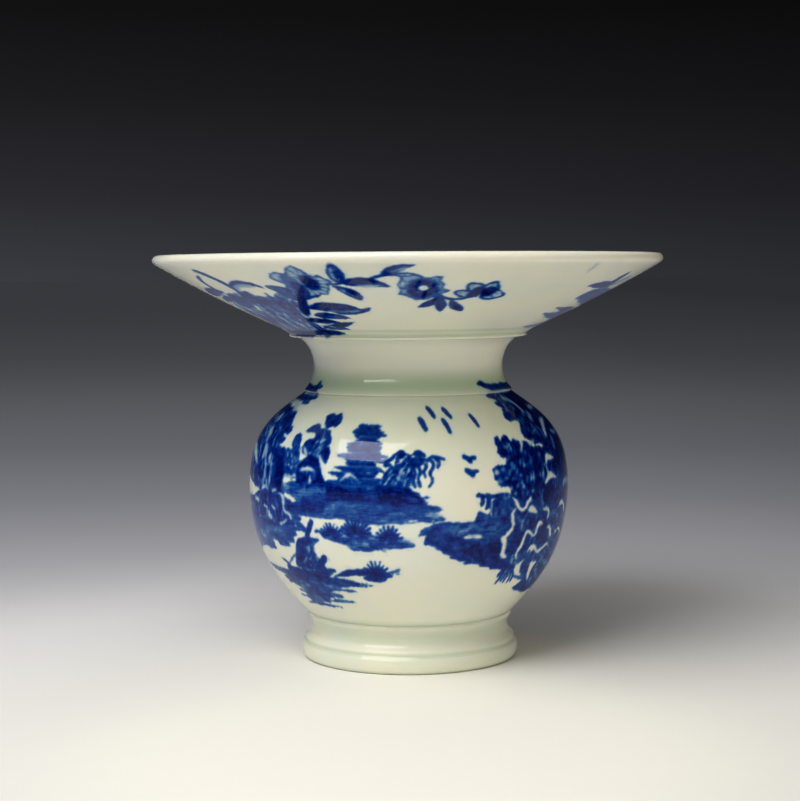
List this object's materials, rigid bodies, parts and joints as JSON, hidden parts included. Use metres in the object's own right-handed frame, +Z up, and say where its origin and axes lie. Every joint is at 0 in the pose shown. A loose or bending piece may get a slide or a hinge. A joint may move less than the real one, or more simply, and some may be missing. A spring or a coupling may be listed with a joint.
{
  "type": "spittoon",
  "caption": "Porcelain spittoon: a globular body on a turned foot ring, a short waisted neck and a wide flared saucer rim, painted in blue.",
  "frame": {"origin": "centre of the flat ring that the foot stands on, on the vessel's axis", "axes": "+Z up along the vessel's axis; the pictured side faces -Y"},
  "size_m": [0.146, 0.146, 0.116],
  "materials": {
    "glazed_porcelain": "glossy greenish-cream glaze over cobalt blue decoration"
  },
  "bodies": {
    "root": {"foot_ring": "glazed_porcelain", "globe_body": "glazed_porcelain", "neck_collar": "glazed_porcelain", "flared_rim": "glazed_porcelain"}
  },
  "joints": []
}
